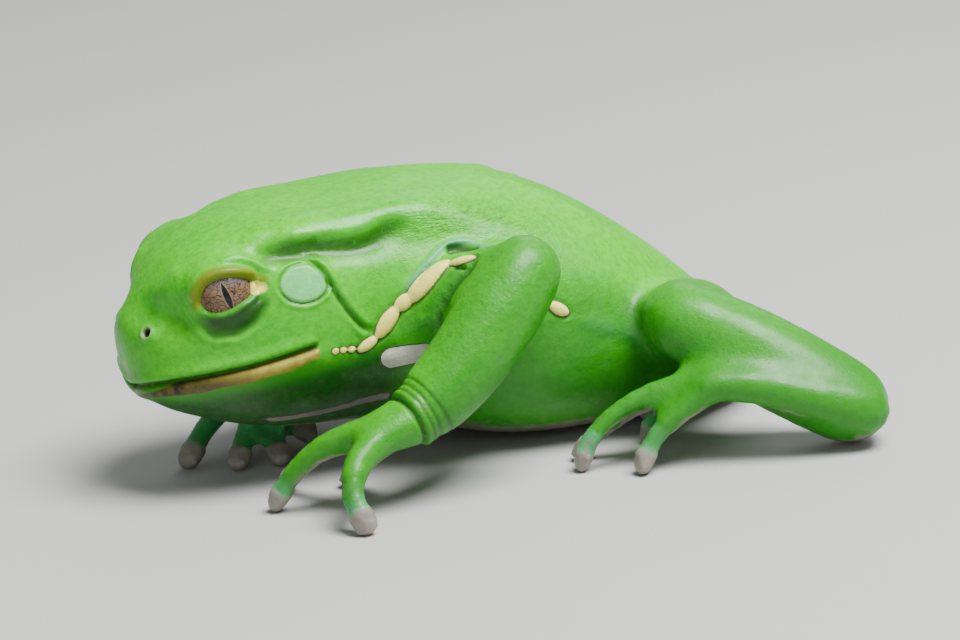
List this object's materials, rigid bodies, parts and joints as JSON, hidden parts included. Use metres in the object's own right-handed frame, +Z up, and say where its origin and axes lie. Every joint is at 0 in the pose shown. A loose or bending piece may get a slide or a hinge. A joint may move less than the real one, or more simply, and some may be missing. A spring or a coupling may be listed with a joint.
{
  "type": "waxy monkey tree frog",
  "caption": "Life-size museum model of a green tree frog crouching on its belly, hands forward and feet folded beside it.",
  "frame": {"origin": "on the floor, in the middle of the flat under the belly", "axes": "the frog faces -X, its left side is -Y, and +Z is up"},
  "size_m": [0.076, 0.0738, 0.0306],
  "materials": {
    "skin": "waxy green skin",
    "eye": "wet, glossy"
  },
  "bodies": {
    "root": {"head": "skin", "torso": "skin", "upper_arm_l": "skin", "upper_arm_r": "skin", "forearm_l": "skin", "forearm_r": "skin", "hand_l": "skin", "hand_r": "skin", "thigh_l": "skin", "thigh_r": "skin", "shank_l": "skin", "shank_r": "skin", "foot_l": "skin", "foot_r": "skin", "eye_l": "eye", "eye_r": "eye"}
  },
  "joints": []
}
